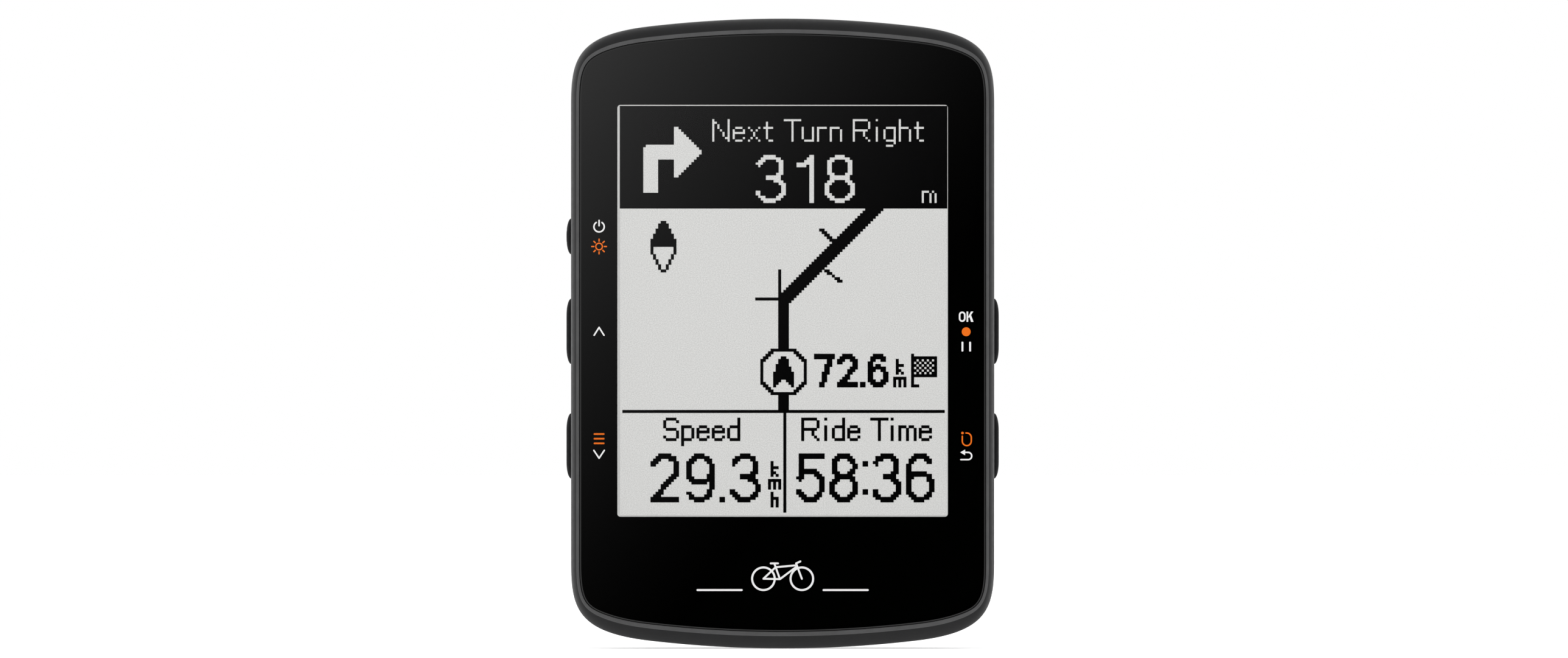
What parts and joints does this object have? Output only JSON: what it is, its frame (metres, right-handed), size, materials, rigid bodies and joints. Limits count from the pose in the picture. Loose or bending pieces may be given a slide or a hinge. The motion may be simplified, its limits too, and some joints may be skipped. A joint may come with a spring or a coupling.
{
  "type": "cycling computer",
  "caption": "Handlebar cycling computer: upright case with a cover glass over a portrait display, side push buttons, hinged charging cover and a quarter-turn lug on the back.",
  "frame": {"origin": "centre of the end face of the quarter-turn lug on the back", "axes": "+Z towards the top end of the device, +Y out of the back along the lug's axis, +X to the right as the screen is read; the screen faces -Y"},
  "size_m": [0.0564, 0.0194, 0.082],
  "materials": {
    "lens": "polished cover glass, printed black round the display window",
    "front_case": "satin dark grey",
    "rear_case": "fine texture, dark grey",
    "button_rubber": "matte, overmoulded",
    "cover_rubber": "matte",
    "seal": "silicone",
    "lug": "glass-filled, satin",
    "steel": "stainless",
    "display": "reflective display, pale grey",
    "light_guide": "clear moulded",
    "carrier": "moulded",
    "flex": "polyimide film",
    "ivory_plastic": "moulded",
    "board": "green solder mask",
    "chip": "epoxy black",
    "tinned_steel": "tin plated",
    "antenna": "unglazed",
    "membrane": "porous film",
    "cell": "laminated foil pouch",
    "foam": "adhesive foam",
    "red_lead": "insulated wire",
    "black_lead": "insulated wire"
  },
  "bodies": {
    "case": {"front_housing": "front_case", "rear_housing": "rear_case", "housing_seal": "seal", "housing_screw_1": "steel", "housing_screw_2": "steel", "housing_screw_3": "steel", "housing_screw_4": "steel", "front_lens": "lens", "lens_gasket": "foam", "lcd_panel": "display", "backlight_plate": "light_guide", "display_frame": "carrier", "display_flex": "flex", "display_connector": "ivory_plastic", "main_pcb": "board", "pcb_screw_1": "steel", "pcb_screw_2": "steel", "shield_can": "tinned_steel", "processor_chip": "chip", "memory_chip": "chip", "gps_antenna": "antenna", "buzzer": "chip", "pressure_sensor": "tinned_steel", "vent_membrane": "membrane", "usb_socket": "tinned_steel", "usb_seal": "seal", "usb_cover_pin": "steel", "battery": "cell", "battery_pad": "foam", "battery_lead_red": "red_lead", "battery_lead_black": "black_lead", "battery_header": "ivory_plastic", "battery_plug": "chip", "power_button_seal": "seal", "up_button_seal": "seal", "down_button_seal": "seal", "ok_button_seal": "seal", "back_button_seal": "seal", "power_switch": "chip", "up_switch": "chip", "down_switch": "chip", "ok_switch": "chip", "back_switch": "chip", "quarter_turn_insert": "lug", "insert_screw_1": "steel", "insert_screw_2": "steel"},
    "power_button": {"power_button": "button_rubber"},
    "up_button": {"up_button": "button_rubber"},
    "down_button": {"down_button": "button_rubber"},
    "ok_button": {"ok_button": "button_rubber"},
    "back_button": {"back_button": "button_rubber"},
    "power_plunger": {"power_plunger": "ivory_plastic"},
    "up_plunger": {"up_plunger": "ivory_plastic"},
    "down_plunger": {"down_plunger": "ivory_plastic"},
    "ok_plunger": {"ok_plunger": "ivory_plastic"},
    "back_plunger": {"back_plunger": "ivory_plastic"},
    "usb_cover": {"usb_cover": "cover_rubber"}
  },
  "joints": [
    {"name": "power_press", "type": "slide", "parent": "case", "child": "power_button", "axis": [1, 0, 0], "range_m": [0, 0.0004], "stiffness_N_per_m": 3000, "springref_m": -0.0003},
    {"name": "up_press", "type": "slide", "parent": "case", "child": "up_button", "axis": [1, 0, 0], "range_m": [0, 0.0004], "stiffness_N_per_m": 3000, "springref_m": -0.0003},
    {"name": "down_press", "type": "slide", "parent": "case", "child": "down_button", "axis": [1, 0, 0], "range_m": [0, 0.0004], "stiffness_N_per_m": 3000, "springref_m": -0.0003},
    {"name": "ok_press", "type": "slide", "parent": "case", "child": "ok_button", "axis": [-1, 0, 0], "range_m": [0, 0.0004], "stiffness_N_per_m": 3000, "springref_m": -0.0003},
    {"name": "back_press", "type": "slide", "parent": "case", "child": "back_button", "axis": [-1, 0, 0], "range_m": [0, 0.0004], "stiffness_N_per_m": 3000, "springref_m": -0.0003},
    {"name": "power_plunge", "type": "slide", "parent": "case", "child": "power_plunger", "axis": [1, 0, 0], "range_m": [0, 0.0004]},
    {"name": "up_plunge", "type": "slide", "parent": "case", "child": "up_plunger", "axis": [1, 0, 0], "range_m": [0, 0.0004]},
    {"name": "down_plunge", "type": "slide", "parent": "case", "child": "down_plunger", "axis": [1, 0, 0], "range_m": [0, 0.0004]},
    {"name": "ok_plunge", "type": "slide", "parent": "case", "child": "ok_plunger", "axis": [-1, 0, 0], "range_m": [0, 0.0004]},
    {"name": "back_plunge", "type": "slide", "parent": "case", "child": "back_plunger", "axis": [-1, 0, 0], "range_m": [0, 0.0004]},
    {"name": "usb_cover_hinge", "type": "hinge", "parent": "case", "child": "usb_cover", "pos_m": [0, -0.00695, -0.0401], "axis": [1, 0, 0], "range_deg": [0, 110]}
  ],
  "couplings": [
    {"joint": "power_plunge", "follows": "power_press", "ratio": 1},
    {"joint": "up_plunge", "follows": "up_press", "ratio": 1},
    {"joint": "down_plunge", "follows": "down_press", "ratio": 1},
    {"joint": "ok_plunge", "follows": "ok_press", "ratio": 1},
    {"joint": "back_plunge", "follows": "back_press", "ratio": 1}
  ]
}
